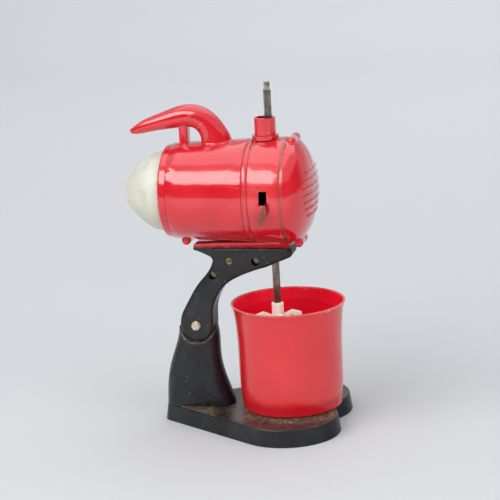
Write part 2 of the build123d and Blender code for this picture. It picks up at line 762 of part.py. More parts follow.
# Screws through the lugs, driven from the far side
with BuildPart() as housing_screws:
    for x, z in lug_axes:
        with BuildSketch(Plane.XZ.offset(-lug_l / 2 + 1 + lug_screw_head_h)):
            with Locations((x, z)):
                Circle(lug_screw_head_r)
                Rectangle(2 * lug_screw_head_r, 0.6, mode=Mode.SUBTRACT)
        extrude(amount=-lug_screw_head_h + 0.3)
        with BuildSketch(Plane.XZ.offset(-lug_l / 2 + 1 + lug_screw_head_h)):
            with Locations((x, z)):
                Circle(lug_screw_r)
        extrude(amount=lug_l - 6 - lug_screw_head_h)
housing_screws.part.label = "housing_screws"
export_step(housing_screws.part, "parts/housing_screws.step")

# Collar: a short tube with a saddle flange that sits on the barrel
with BuildPart() as collar:
    with BuildSketch(Plane.XY.offset(head_z + barrel_front_r - collar_depth)):
        with Locations((collar_x, 0)):
            Circle(collar_r)
    extrude(amount=collar_top_z - head_z - barrel_front_r + collar_depth)
    with BuildSketch(Plane.XY.offset(head_z)):
        with Locations((collar_x, 0)):
            Circle(collar_flange_r)
            Circle(collar_r - running, mode=Mode.SUBTRACT)
    extrude(amount=barrel_front_r + collar_flange_h)
    with BuildSketch(Plane.YZ.offset(collar_x - 2 * collar_r)):
        with Locations((0, head_z)):
            Circle(barrel_front_r + running)
    extrude(amount=4 * collar_r, mode=Mode.SUBTRACT)
    with BuildSketch(Plane.XY.offset(head_z + barrel_front_r - collar_depth)):
        with Locations((collar_x, 0)):
            Circle(collar_r)
    extrude(amount=collar_depth + 1)
    with BuildSketch(Plane.XY.offset(head_z)):
        with Locations((collar_x, 0)):
            Circle(collar_bore_r)
    extrude(amount=collar_top_z, mode=Mode.SUBTRACT)
collar.part.label = "collar"
export_step(collar.part, "parts/collar.step")

# Bezel: a rounded ring pressed on the rear spigot
with BuildPart() as bezel:
    with BuildSketch(Plane.XZ):
        with BuildLine():
            Polyline((barrel_rear_x - seat, head_z + spigot_r + running),
                     (barrel_rear_x - seat, head_z + bezel_r),
                     (barrel_rear_x - seat - bezel_l, head_z + bezel_r - 0.6),
                     (barrel_rear_x - seat - bezel_l, head_z + bezel_lip_r),
                     (spigot_x - seat, head_z + bezel_lip_r),
                     (spigot_x - seat, head_z + spigot_r + running), close=True)
        make_face()
        fillet(vertices().group_by(Axis.X)[0].sort_by(Axis.Y)[-1], bezel_edge_r)
    revolve(axis=barrel_axis)
bezel.part.label = "bezel"
export_step(bezel.part, "parts/bezel.step")

# Winding knob: a domed cap with dished finger grips and a square-bored boss
knob_face_x = barrel_rear_x - seat - bezel_l - free
knob_tip_x = knob_face_x - knob_l
arbor_rear_x = knob_tip_x + 3 * knob_wall
knob_boss_x = knob_face_x + 3.0

with BuildPart() as knob:
    with BuildSketch(Plane.XZ):
        with BuildLine():
            Line((knob_face_x, head_z), (knob_face_x, head_z + knob_r))
            Spline((knob_face_x, head_z + knob_r), (knob_face_x - 0.40 * knob_l, head_z + 0.90 * knob_r),
                   (knob_face_x - 0.74 * knob_l, head_z + 0.60 * knob_r), (knob_tip_x, head_z),
                   tangents=((-1, 0), (0, -1)))
            Line((knob_tip_x, head_z), (knob_face_x, head_z))
        make_face()
    revolve(axis=barrel_axis)
    tilt = radians(scallop_tilt)
    out = knob_r + scallop_r - scallop_d
    for i in range(scallop_count):
        around = pi / 2 + 2 * pi * i / scallop_count
        with Locations((knob_face_x - out * cos(tilt), out * sin(tilt) * sin(around),
                        head_z + out * sin(tilt) * cos(around))):
            Sphere(scallop_r, mode=Mode.SUBTRACT)
    with BuildSketch(Plane.XZ):
        with BuildLine():
            Line((knob_face_x, head_z), (knob_face_x, head_z + knob_r - knob_wall))
            Spline((knob_face_x, head_z + knob_r - knob_wall),
                   (knob_face_x - 0.34 * knob_l, head_z + 0.68 * knob_r),
                   (knob_tip_x + 2.4 * knob_wall, head_z), tangents=((-1, 0), (0, -1)))
            Line((knob_tip_x + 2.4 * knob_wall, head_z), (knob_face_x, head_z))
        make_face()
    revolve(axis=barrel_axis, mode=Mode.SUBTRACT)
    with BuildSketch(Plane.YZ.offset(knob_tip_x + knob_wall)):
        with Locations((0, head_z)):
            Circle(knob_boss_r)
    extrude(amount=knob_boss_x - knob_tip_x - knob_wall)
    with BuildSketch(Plane.YZ.offset(arbor_rear_x)):
        with Locations((0, head_z)):
            Rectangle(arbor_square + 2 * running, arbor_square + 2 * running)
    extrude(amount=knob_l, mode=Mode.SUBTRACT)
knob.part.label = "winding_knob"
export_step(knob.part, "parts/winding_knob.step")

# Winding arbor: square rear end in the knob, journals in both plates
ratchet_x = great_x - seat - ratchet_t
with BuildPart() as arbor:
    with BuildSketch(Plane.YZ.offset(arbor_rear_x + seat)):
        with Locations((0, head_z)):
            Rectangle(arbor_square, arbor_square)
    extrude(amount=knob_boss_x - arbor_rear_x)
    with BuildSketch(Plane.YZ.offset(knob_boss_x + seat)):
        with Locations((0, head_z)):
            Circle(arbor_r)
    extrude(amount=front_plate_x + 2 * plate_t + 1.0 - knob_boss_x)
arbor.part.label = "winding_arbor"
export_step(arbor.part, "parts/winding_arbor.step")

with BuildPart() as ratchet_wheel:
    with BuildSketch(Plane.YZ.offset(ratchet_x)):
        with Locations((0, head_z)):
            Circle(0.78 * ratchet_r)
            with PolarLocations(0, ratchet_teeth):
                pitch = 2 * pi / ratchet_teeth
                Polygon((0.6 * ratchet_r, 0), (ratchet_r, 0),
                        (0.77 * ratchet_r * cos(pitch), 0.77 * ratchet_r * sin(pitch)), align=None)
            Circle(arbor_r + running, mode=Mode.SUBTRACT)
    extrude(amount=ratchet_t)
ratchet_wheel.part.label = "ratchet_wheel"
export_step(ratchet_wheel.part, "parts/ratchet_wheel.step")

# Great wheel with its click, free on the arbor
with BuildPart() as great_wheel:
    with BuildSketch(Plane.YZ.offset(great_x)):
        with Locations((0, head_z)):
            add_teeth(great_teeth, great_pitch_r - dedendum, great_pitch_r + addendum)
            Circle(arbor_r + running, mode=Mode.SUBTRACT)
            with PolarLocations(0.8 * ratchet_r, 5, start_angle=54):
                Circle(wheel_hole_r, mode=Mode.SUBTRACT)
            with Locations(click_pin_at):
                Circle(click_pin_r, mode=Mode.SUBTRACT)
    extrude(amount=wheel_t)
great_wheel.part.label = "great_wheel"
export_step(great_wheel.part, "parts/great_wheel.step")

with BuildPart() as click:
    with BuildSketch(head_plane(great_x - click_t)):
        with BuildLine():
            Polyline((ratchet_r + 0.3, 0.4), (ratchet_r + 1.3, -0.6), (click_r + 1.2, 3.4),
                     (click_r + 0.4, 5.6), (click_r - 1.2, 4.6), close=True)
        make_face()
        with Locations(click_pin_at):
            Circle(click_pin_r, mode=Mode.SUBTRACT)
    extrude(amount=click_t)
click.part.label = "click"
export_step(click.part, "parts/click.step")

with BuildPart() as click_rivet:
    with BuildSketch(head_plane(great_x - click_t)):
        with Locations(click_pin_at):
            Circle(click_pin_r)
    extrude(amount=click_t + wheel_t)
    for x, out in ((great_x - click_t, -rivet_head_h), (great_x + wheel_t, rivet_head_h)):
        with BuildSketch(head_plane(x)):
            with Locations(click_pin_at):
                Circle(rivet_head_r)
        extrude(amount=out)
click_rivet.part.label = "click_rivet"
export_step(click_rivet.part, "parts/click_rivet.step")

# Mainspring: a spiral strip of half-circle arcs, hooked round one pillar
turns = 2 * spring_turns
spring_x = rear_plate_x + plate_t + 0.8


def spring_edge(shift):
    """Draw one edge of the strip, shifted from its middle line."""
    sides = [(1 if i % 2 == 0 else -1) * (spring_bore_r + i * spring_pitch / 2 + shift)
             for i in range(turns + 1)]
    edges = []
    for i in range(turns):
        a, b = sides[i], sides[i + 1]
        rise = abs(a - b) / 2 * (1 if i % 2 == 0 else -1)
        edges.append(ThreePointArc((a, 0), ((a + b) / 2, rise), (b, 0)))
    edges.append(Line((sides[-1], 0), (sides[-1], pillar_z)))
    edges.append(ThreePointArc((sides[-1], pillar_z), (pillar_y, pillar_z + pillar_y - sides[-1]),
                               (2 * pillar_y - sides[-1], pillar_z)))
    return edges


with BuildPart() as mainspring:
    with BuildSketch(head_plane(spring_x)):
        with BuildLine():
            add(spring_edge(spring_t / 2))
            add(spring_edge(-spring_t / 2))
            Line((spring_bore_r - spring_t / 2, 0), (spring_bore_r + spring_t / 2, 0))
            hook = pillar_y - spring_outer_r
            Line((pillar_y + hook - spring_t / 2, pillar_z), (pillar_y + hook + spring_t / 2, pillar_z))
        make_face()
    extrude(amount=spring_w)
mainspring.part.label = "mainspring"
export_step(mainspring.part, "parts/mainspring.step")

# Frame of the clockwork: two steel plates, four pillars and their nuts
pillar_places = [(pillar_y, pillar_z), (-pillar_y, pillar_z), (pillar_y, -pillar_z), (-pillar_y, -pillar_z)]


def plate_r(x):
    """Radius of a round plate that seats in the barrel at x."""
    return inner_r(x) - seat


with BuildPart() as rear_plate:
    with BuildSketch(head_plane(rear_plate_x)):
        Circle(plate_r(rear_plate_x))
        Rectangle(2 * plate_half_w, 2 * barrel_front_r, mode=Mode.INTERSECT)
        Circle(arbor_r + running, mode=Mode.SUBTRACT)
        with Locations((0, crown_z - head_z)):
            Circle(crown_shaft_r + running, mode=Mode.SUBTRACT)
    extrude(amount=plate_t)
rear_plate.part.label = "rear_plate"
export_step(rear_plate.part, "parts/rear_plate.step")

with BuildPart() as front_plate:
    with BuildSketch(head_plane(front_plate_x)):
        Circle(plate_r(front_plate_x))
        Rectangle(2 * plate_half_w, 2 * barrel_front_r, mode=Mode.INTERSECT)
        Circle(arbor_r + running, mode=Mode.SUBTRACT)
        with Locations((0, crown_z - head_z)):
            Circle(crown_shaft_r + running, mode=Mode.SUBTRACT)
    extrude(amount=plate_t)
front_plate.part.label = "front_plate"
export_step(front_plate.part, "parts/front_plate.step")

pillar_l = front_plate_x - rear_plate_x - plate_t
with BuildPart() as frame_pillars:
    with BuildSketch(head_plane(rear_plate_x + plate_t)):
        with Locations(pillar_places):
            Circle(pillar_r)
    extrude(amount=pillar_l)
frame_pillars.part.label = "frame_pillars"
export_step(frame_pillars.part, "parts/frame_pillars.step")

with BuildPart() as frame_nuts:
    for x, out in ((rear_plate_x, -nut_h), (front_plate_x + plate_t, nut_h)):
        with BuildSketch(head_plane(x)):
            with Locations(pillar_places):
                RegularPolygon(nut_r, 6)
        extrude(amount=out)
frame_nuts.part.label = "frame_nuts"
export_step(frame_nuts.part, "parts/frame_nuts.step")

# Crown arbor: pinion, long shaft and a contrate wheel that turns the drive upright
crown_face_x = spindle_x - spindle_pitch_r + dedendum - tooth_gap
crown_root_x = crown_face_x - addendum - dedendum + tooth_gap / 2
crown_arbor_x = rear_plate_x - crown_end

with BuildPart() as crown_arbor:
    with BuildSketch(head_plane(crown_arbor_x)):
        with Locations((0, crown_z - head_z)):
            Circle(crown_shaft_r)
    extrude(amount=crown_root_x - crown_arbor_x)
    with BuildSketch(head_plane(great_x - (pinion_face - wheel_t) / 2)):
        with Locations((0, crown_z - head_z)):
            add_teeth(pinion_teeth, pinion_pitch_r - dedendum, pinion_pitch_r + addendum)
    extrude(amount=pinion_face)
crown_arbor.part.label = "crown_arbor"
export_step(crown_arbor.part, "parts/crown_arbor.step")

with BuildPart() as crown_wheel:
    with BuildSketch(head_plane(crown_root_x - crown_web_t)):
        with Locations((0, crown_z - head_z)):
            Circle(crown_pitch_r + crown_tooth_l / 2)
            Circle(crown_shaft_r, mode=Mode.SUBTRACT)
    extrude(amount=crown_web_t)
    with BuildSketch(head_plane(crown_root_x - crown_web_t)):
        with Locations((0, crown_z - head_z)):
            Circle(2 * crown_shaft_r)
            Circle(crown_shaft_r, mode=Mode.SUBTRACT)
    extrude(amount=-crown_hub_l)
    with BuildSketch(head_plane(crown_root_x)):
        with Locations((0, crown_z - head_z)):
            with PolarLocations(crown_pitch_r, crown_teeth):
                Rectangle(crown_tooth_l, tooth_root)
    extrude(amount=crown_face_x - crown_root_x, taper=crown_tooth_taper)
crown_wheel.part.label = "crown_wheel"
export_step(crown_wheel.part, "parts/crown_wheel.step")

# Spindle bracket: a bent steel channel that carries the upright sleeve
bracket_front_x = spindle_x + bracket_reach
with BuildPart() as spindle_bracket:
    with BuildSketch(head_plane(bracket_back_x)):
        with Locations((0, (bracket_low_z + bracket_high_z) / 2 - head_z)):
            Rectangle(bracket_w, bracket_high_z - bracket_low_z)
        with BuildLine():
            Polyline((0, lever_ear_r), (lever_pivot_y, lever_ear_r), (lever_pivot_y, -lever_ear_r),
                     (0, -lever_ear_r), close=True)
        make_face()
        with Locations((lever_pivot_y, 0)):
            Circle(lever_ear_r)
            Circle(lever_pin_r + running, mode=Mode.SUBTRACT)
        with Locations((0, crown_z - head_z)):
            Circle(crown_shaft_r + running, mode=Mode.SUBTRACT)
    extrude(amount=bracket_t)
    for z in (bracket_low_z, bracket_high_z - bracket_t):
        with BuildSketch(Plane.XY.offset(z)):
            with Locations((bracket_back_x, 0)):
                Rectangle(bracket_front_x - bracket_back_x, bracket_w - 2, align=(Align.MIN, Align.CENTER))
            with Locations((spindle_x, 0)):
                Circle(sleeve_r + running, mode=Mode.SUBTRACT)
        extrude(amount=bracket_t)
spindle_bracket.part.label = "spindle_bracket"
export_step(spindle_bracket.part, "parts/spindle_bracket.step")

with BuildPart() as bracket_posts:
    with BuildSketch(head_plane(front_plate_x + plate_t)):
        with Locations(bracket_post_places):
            Circle(bracket_post_r)
    extrude(amount=bracket_back_x - front_plate_x - plate_t)
bracket_posts.part.label = "bracket_posts"
export_step(bracket_posts.part, "parts/bracket_posts.step")

# Drive sleeve: a tube with a square bore and the pinion that the crown wheel turns
spindle_mesh_z = crown_z + crown_pitch_r
with BuildPart() as drive_sleeve:
    with BuildSketch(Plane.XY.offset(bracket_low_z - sleeve_end)):
        with Locations((spindle_x, 0)):
            Circle(sleeve_r)
    extrude(amount=bracket_high_z - bracket_low_z + 2 * sleeve_end)
    with BuildSketch(Plane.XY.offset(spindle_mesh_z - spindle_face / 2)):
        with Locations((spindle_x, 0)):
            add_teeth(spindle_teeth, spindle_pitch_r - dedendum, spindle_pitch_r + addendum)
    extrude(amount=spindle_face)
    with BuildSketch(Plane.XY.offset(bracket_low_z - sleeve_end)):
        with Locations((spindle_x, 0)):
            Rectangle(rod_across + 2 * running, rod_across + 2 * running, rotation=rod_turn)
    extrude(amount=bracket_high_z - bracket_low_z + 2 * sleeve_end, mode=Mode.SUBTRACT)
drive_sleeve.part.label = "drive_sleeve"
export_step(drive_sleeve.part, "parts/drive_sleeve.step")

with BuildPart() as sleeve_clips:
    for z in (bracket_low_z + bracket_t + seat, bracket_high_z - bracket_t - seat - clip_t):
        with BuildSketch(Plane.XY.offset(z)):
            with Locations((spindle_x, 0)):
                Circle(sleeve_r + clip_w)
                Circle(sleeve_r, mode=Mode.SUBTRACT)
        extrude(amount=clip_t)
sleeve_clips.part.label = "sleeve_clips"
export_step(sleeve_clips.part, "parts/sleeve_clips.step")

# Beater rod: a square bar that slides up through the sleeve
rod_low_z = hub_top_z - rod_grip
with BuildPart() as beater_rod:
    with BuildSketch(Plane.XY.offset(rod_low_z)):
        with Locations((spindle_x, 0)):
            Rectangle(rod_across, rod_across, rotation=rod_turn)
    extrude(amount=rod_top_z - rod_low_z - rod_tip_l)
    with BuildSketch(Plane.XY.offset(rod_top_z - rod_tip_l)):
        with Locations((spindle_x, 0)):
            Rectangle(rod_across - rod_tip_cut, rod_across - rod_tip_cut, rotation=rod_turn)
    extrude(amount=rod_tip_l)
    chamfer(beater_rod.edges().group_by(Axis.Z)[-1], 0.3)
beater_rod.part.label = "beater_rod"
export_step(beater_rod.part, "parts/beater_rod.step")

# Beater: a hub with four looped blades
shoulder_z = hub_top_z - shoulder_drop
with BuildPart() as beater:
    for i in range(blade_pairs):
        turn = radians(blade_turn + 180 * i / blade_pairs)
        with BuildSketch(Plane(origin=(spindle_x, 0, 0), x_dir=(cos(turn), sin(turn), 0),
                               z_dir=(sin(turn), -cos(turn), 0))):
            for side in (1, -1):
                Polygon((0, shoulder_z - shoulder_slope), (side * 0.62 * beater_r, shoulder_z),
                        (side * beater_r, shoulder_z - 1.6), (side * beater_r, beater_low_z + blade_foot),
                        (side * 0.66 * beater_r, beater_low_z), (0, beater_low_z), align=None)
                Polygon((0, shoulder_z - shoulder_slope - blade_rim),
                        (side * 0.6 * beater_r, shoulder_z - blade_rim),
                        (side * (beater_r - blade_rim), shoulder_z - 1.6 - blade_rim),
                        (side * (beater_r - blade_rim), beater_low_z + blade_foot + blade_rim / 2),
                        (side * 0.58 * beater_r, beater_low_z + blade_rim), (0, beater_low_z + blade_rim),
                        align=None, mode=Mode.SUBTRACT)
        extrude(amount=blade_t / 2, both=True)
    with BuildSketch(Plane.XY.offset(beater_low_z - hub_foot)):
        with Locations((spindle_x, 0)):
            Circle(hub_r)
    extrude(amount=hub_top_z - beater_low_z + hub_foot)
    with BuildSketch(Plane.XY.offset(rod_low_z - seat)):
        with Locations((spindle_x, 0)):
            Rectangle(rod_across + 2 * running, rod_across + 2 * running, rotation=rod_turn)
    extrude(amount=rod_grip + seat, mode=Mode.SUBTRACT)
    chamfer(beater.edges().group_by(Axis.Z)[-1].filter_by(GeomType.CIRCLE), hub_edge)
beater.part.label = "beater"
export_step(beater.part, "parts/beater.step")

# Stop lever: a bent strip that pivots in the bracket and comes out of the side slot
with BuildPart() as stop_lever:
    drop = radians(lever_drop)
    neck_l = (lever_pivot_y - lever_tab_y) / cos(drop)
    with BuildSketch(Plane(origin=(lever_x, lever_pivot_y, head_z), x_dir=(0, -cos(drop), -sin(drop)),
                           z_dir=(1, 0, 0))):
        Circle(lever_hub_r)
        Rectangle(neck_l, lever_neck_h, align=(Align.MIN, Align.CENTER))
        Rectangle(lever_tail_l, lever_neck_h, align=(Align.MAX, Align.CENTER))
        Circle(lever_pin_r + running, mode=Mode.SUBTRACT)
    extrude(amount=lever_t)
    tab_top = head_z - neck_l * sin(drop) + lever_neck_h / 2
    with BuildSketch(Plane.XZ.offset(-lever_tab_y)):
        with BuildLine():
            Polyline((lever_x, tab_top), (lever_x + lever_t, tab_top),
                     (lever_x + lever_t + 0.4, tab_top - 2.2),
                     (lever_x + lever_t, tab_top - 6.8), (lever_x - 3.2, tab_top - 14.4),
                     (lever_x - 3.9, tab_top - 8.8), close=True)
        make_face()
    extrude(amount=lever_tab_t)
stop_lever.part.label = "stop_lever"
export_step(stop_lever.part, "parts/stop_lever.step")

with BuildPart() as lever_pin:
    with BuildSketch(Plane.YZ.offset(bracket_back_x)):
        with Locations((lever_pivot_y, head_z)):
            Circle(lever_pin_r)
    extrude(amount=lever_x + lever_t + lever_pin_end - bracket_back_x)
    with BuildSketch(Plane.YZ.offset(lever_x + lever_t + seat)):
        with Locations((lever_pivot_y, head_z)):
            Circle(lever_pin_head_r)
    extrude(amount=lever_tab_t)
lever_pin.part.label = "lever_pin"
export_step(lever_pin.part, "parts/lever_pin.step")

# Bowl: flared rim, an inner step below it, and a socket that turns on the base's spigot
with BuildPart() as bowl:
    with BuildSketch(Plane.XZ):
        with BuildLine():
            Spline([(bowl_x + r, z) for r, z in bowl_side], tangents=((0, 1), bowl_rim_slope))
            Polyline((bowl_x + bowl_rim_r, bowl_rim_z), (bowl_x + bowl_rim_r - rim_t, bowl_rim_z),
                     (bowl_x + bowl_neck_r - rim_t, bowl_step_z),
                     (bowl_x + bowl_neck_r - bowl_wall, bowl_step_z),
                     (bowl_x + bowl_neck_r - bowl_wall, bowl_neck_z))
            Spline([(bowl_x + r - bowl_wall, z) for r, z in bowl_side[1:-1]][::-1])
            Polyline((bowl_x + bowl_side[1][0] - bowl_wall, bowl_side[1][1]),
                     (bowl_x + bowl_foot_r - 2 * bowl_wall, bowl_floor_z + bowl_wall),
                     (bowl_x, bowl_floor_z + bowl_wall), (bowl_x, bowl_floor_z),
                     (bowl_x + bowl_foot_r - bowl_wall, bowl_floor_z),
                     (bowl_x + bowl_foot_r - bowl_wall, bowl_foot_z),
                     (bowl_x + bowl_foot_r - bowl_foot_cut, bowl_foot_z),
                     (bowl_x + bowl_side[0][0], bowl_side[0][1]))
        make_face()
        with Locations((bowl_x + spigot_bowl_r + lift, bowl_foot_z)):
            Rectangle(socket_w, bowl_floor_z - bowl_foot_z, align=(Align.MIN, Align.MIN))
    revolve(axis=Axis((bowl_x, 0, 0), (0, 0, 1)))
bowl.part.label = "bowl"
export_step(bowl.part, "parts/bowl.step")
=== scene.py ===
import json
from math import cos, radians, sin

import bpy
from mathutils import Matrix, Vector

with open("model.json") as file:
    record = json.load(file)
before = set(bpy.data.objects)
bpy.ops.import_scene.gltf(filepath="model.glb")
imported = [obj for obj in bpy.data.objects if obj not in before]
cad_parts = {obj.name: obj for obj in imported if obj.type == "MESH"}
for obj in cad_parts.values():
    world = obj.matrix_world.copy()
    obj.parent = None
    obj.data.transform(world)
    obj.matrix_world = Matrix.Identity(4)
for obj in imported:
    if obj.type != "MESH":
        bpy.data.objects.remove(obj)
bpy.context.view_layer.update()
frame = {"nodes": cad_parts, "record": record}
nodes = frame["nodes"]

# Places on the object in metres, as part.py has them
SPINDLE_X = 0.0230
DOME_X = SPINDLE_X + 0.0117
BOWL_X = SPINDLE_X + 0.0061
PIVOT_Z = 0.059
PIVOT = (SPINDLE_X - 0.04715, 0.0, PIVOT_Z)
DEEP_SCREWS = ((SPINDLE_X - 0.0358, 0.0, 0.0890), (SPINDLE_X - 0.0100, 0.0, 0.0973))

# Heights between which a look changes, in metres
BASE_TOP_Z = (0.013, 0.009)
BOWL_FOOT_Z = (0.020, 0.015)
BOWL_RIM_Z = (0.0695, 0.0718)
BOWL_LIP_Z = (0.0710, 0.0716)
BARREL_MIDDLE_Z = (0.126, 0.138)
BARREL_TOP_Z = (0.164, 0.166)
ROD_TIP_Z = (0.1945, 0.1962)

# Axes that a distance is measured over
ACROSS_Y = (1.0, 0.0, 1.0)
ACROSS_Z = (1.0, 1.0, 0.0)

# Camera, fitted to the photograph: degrees, metres and millimetres
CAMERA_TURN, CAMERA_RISE, CAMERA_ROLL = 13.204, 13.488, -3.101
CAMERA_SPOT = (SPINDLE_X + 0.23233, -1.05270, 0.36155)
CAMERA_LENS, CAMERA_SENSOR = 139.0, 36.0


def place_camera():
    az, el, roll = radians(CAMERA_TURN), radians(CAMERA_RISE), radians(CAMERA_ROLL)
    back = Vector((sin(az) * cos(el), -cos(az) * cos(el), sin(el)))
    right = Vector((cos(az), sin(az), 0.0))
    up = back.cross(right)
    side = right * cos(roll) + up * sin(roll)
    top = up * cos(roll) - right * sin(roll)
    data = bpy.data.cameras.new("camera")
    data.sensor_width = CAMERA_SENSOR
    data.lens = CAMERA_LENS
    data.clip_start, data.clip_end = 0.05, 20.0
    cam = bpy.data.objects.new("camera", data)
    bpy.context.scene.collection.objects.link(cam)
    rot = Matrix((side, top, back)).transposed().to_4x4()
    cam.matrix_world = Matrix.Translation(Vector(CAMERA_SPOT)) @ rot
    bpy.context.scene.camera = cam


place_camera()


class Maker:
    """Builds one node material with short calls."""

    def __init__(self, name):
        self.mat = bpy.data.materials.new(name)
        self.mat.use_nodes = True
        self.tree = self.mat.node_tree
        self.tree.nodes.clear()
        out = self.new("ShaderNodeOutputMaterial")
        self.bsdf = self.new("ShaderNodeBsdfPrincipled")
        self.link(self.bsdf.outputs["BSDF"], out.inputs["Surface"])
        self.place = self.new("ShaderNodeTexCoord").outputs["Object"]

    def new(self, kind):
        return self.tree.nodes.new(kind)

    def link(self, a, b):
        self.tree.links.new(a, b)

    def put(self, value, socket):
        """Link a socket, or set a plain value."""
        if isinstance(value, bpy.types.NodeSocket):
            self.link(value, socket)
        else:
            socket.default_value = value

    def set(self, **values):
        """Give the shader's inputs their values or links."""
        for name, value in values.items():
            self.put(value, self.bsdf.inputs[name.replace("_", " ").title().replace("Ior", "IOR")])

    def soft(self, weight, radius, scale):
        """Light that soaks a little way into the plastic."""
        self.set(subsurface_weight=weight, subsurface_radius=radius, subsurface_scale=scale)

    def math(self, op, a, b=0.0, clamp=False):
        n = self.new("ShaderNodeMath")
        n.operation = op
        n.use_clamp = clamp
        self.put(a, n.inputs[0])
        self.put(b, n.inputs[1])
        return n.outputs[0]

    def vector_math(self, op, a, b=None, output="Vector"):
        n = self.new("ShaderNodeVectorMath")
        n.operation = op
        self.put(a, n.inputs[0])
        if b is not None:
            self.put(b, n.inputs[1])
        return n.outputs[output]

    def times(self, *values):
        """Product of all values."""
        total = values[0]
        for value in values[1:]:
            total = self.math("MULTIPLY", total, value)
        return total

    def plus(self, a, b):
        """Sum, held between 0 and 1."""
        return self.math("ADD", a, b, clamp=True)

    def noise(self, scale, detail=3.0, rough=0.5, stretch=None):
        n = self.new("ShaderNodeTexNoise")
        n.inputs["Scale"].default_value = scale
        n.inputs["Detail"].default_value = detail
        n.inputs["Roughness"].default_value = rough
        self.link(self.stretched(stretch), n.inputs["Vector"])
        return n.outputs["Fac"]

    def stretched(self, stretch=None):
        """The point in metres, with its axes scaled where stretch is given."""
        if stretch is None:
            return self.place
        m = self.new("ShaderNodeMapping")
        m.inputs["Scale"].default_value = stretch
        self.link(self.place, m.inputs["Vector"])
        return m.outputs["Vector"]

    def ramp(self, value, low, high, out_low=0.0, out_high=1.0):
        """Map low..high to out_low..out_high, clamped and smooth."""
        n = self.new("ShaderNodeMapRange")
        n.interpolation_type = "SMOOTHSTEP"
        self.put(value, n.inputs["Value"])
        self.put(low, n.inputs["From Min"])
        self.put(high, n.inputs["From Max"])
        self.put(out_low, n.inputs["To Min"])
        self.put(out_high, n.inputs["To Max"])
        return n.outputs["Result"]

    def between(self, share, start, end):
        """start where share is 0, end where it is 1."""
        return self.ramp(share, 0.0, 1.0, start, end)

    def patches(self, scale, low, high, out_low=0.0, out_high=1.0, detail=3.0, rough=0.5, stretch=None):
        """Blotches of noise, mapped as ramp does."""
        return self.ramp(self.noise(scale, detail, rough, stretch), low, high, out_low, out_high)

    def mix(self, share, a, b):
        n = self.new("ShaderNodeMix")
        n.data_type = "RGBA"
        self.put(share, n.inputs["Factor"])
        self.put(a if isinstance(a, bpy.types.NodeSocket) else (*a, 1.0), n.inputs["A"])
        self.put(b if isinstance(b, bpy.types.NodeSocket) else (*b, 1.0), n.inputs["B"])
        return n.outputs["Result"]

    def cover(self, colour, mask, share, paint):
        """Lay paint over colour, at the given share where mask is 1."""
        return self.mix(self.times(mask, share), colour, paint)

    def axis(self, name):
        """One coordinate of the point, in metres."""
        n = self.new("ShaderNodeSeparateXYZ")
        self.link(self.place, n.inputs[0])
        return n.outputs[name]

    def along(self, name, start, end, out_low=0.0, out_high=1.0):
        """Change from out_low to out_high between two places on one axis."""
        return self.ramp(self.axis(name), start, end, out_low, out_high)

    def band(self, name, middle, half, soft):
        """1 within half of middle along one axis, fading to 0 over soft."""
        off = self.math("ABSOLUTE", self.math("SUBTRACT", self.axis(name), middle))
        return self.ramp(off, half, half + soft, 1.0, 0.0)

    def away(self, spot, axes):
        """Vector from spot to the point, kept only along the axes that are 1."""
        return self.vector_math("MULTIPLY", self.vector_math("SUBTRACT", self.place, spot), axes)

    def reach(self, spot, axes):
        """Distance from spot, measured over the axes that are 1."""
        return self.vector_math("LENGTH", self.away(spot, axes), output="Value")

    def around(self, spots, inner, outer):
        """1 within inner of either of two spots, seen along Y, and 0 beyond outer."""
        discs = [self.ramp(self.reach(spot, ACROSS_Y), inner, outer, 1.0, 0.0) for spot in spots]
        return self.math("MAXIMUM", *discs)

    def crease(self, reach, inside=False):
        """1 in the creases, or on the outer edges with inside, and 0 in the open."""
        n = self.new("ShaderNodeAmbientOcclusion")
        n.samples = 12
        n.inside = inside
        n.only_local = inside
        n.inputs["Distance"].default_value = reach
        return self.math("SUBTRACT", 1.0, n.outputs["AO"], clamp=True)

    def scratches(self, scale, turn, width, seed):
        """Thin, slightly bent lines at one angle: 1 on a line."""
        sway = self.new("ShaderNodeTexNoise")
        sway.inputs["Scale"].default_value = 30.0
        self.link(self.place, sway.inputs["Vector"])
        bent = self.new("ShaderNodeVectorMath")
        bent.operation = "MULTIPLY_ADD"
        self.link(sway.outputs["Color"], bent.inputs[0])
        bent.inputs[1].default_value = (0.004, 0.004, 0.004)
        self.link(self.place, bent.inputs[2])
        m = self.new("ShaderNodeMapping")
        m.inputs["Rotation"].default_value = turn
        m.inputs["Location"].default_value = (seed, 2.0 * seed, -seed)
        m.inputs["Scale"].default_value = (0.10, 1.0, 1.0)
        self.link(bent.outputs["Vector"], m.inputs["Vector"])
        n = self.new("ShaderNodeTexVoronoi")
        n.feature = "DISTANCE_TO_EDGE"
        n.inputs["Scale"].default_value = scale
        self.link(m.outputs["Vector"], n.inputs["Vector"])
        return self.ramp(n.outputs["Distance"], 0.0, width, 1.0, 0.0)

    def bump(self, height, strength, distance, rounding=0.0):
        """Bump from height, over edges that look rounded by the given radius."""
        n = self.new("ShaderNodeBump")
        if rounding:
            soft = self.new("ShaderNodeBevel")
            soft.samples = 4
            soft.inputs["Radius"].default_value = rounding
            self.link(soft.outputs["Normal"], n.inputs["Normal"])
        n.inputs["Strength"].default_value = strength
        n.inputs["Distance"].default_value = distance
        self.put(height, n.inputs["Height"])
        self.link(n.outputs["Normal"], self.bsdf.inputs["Normal"])


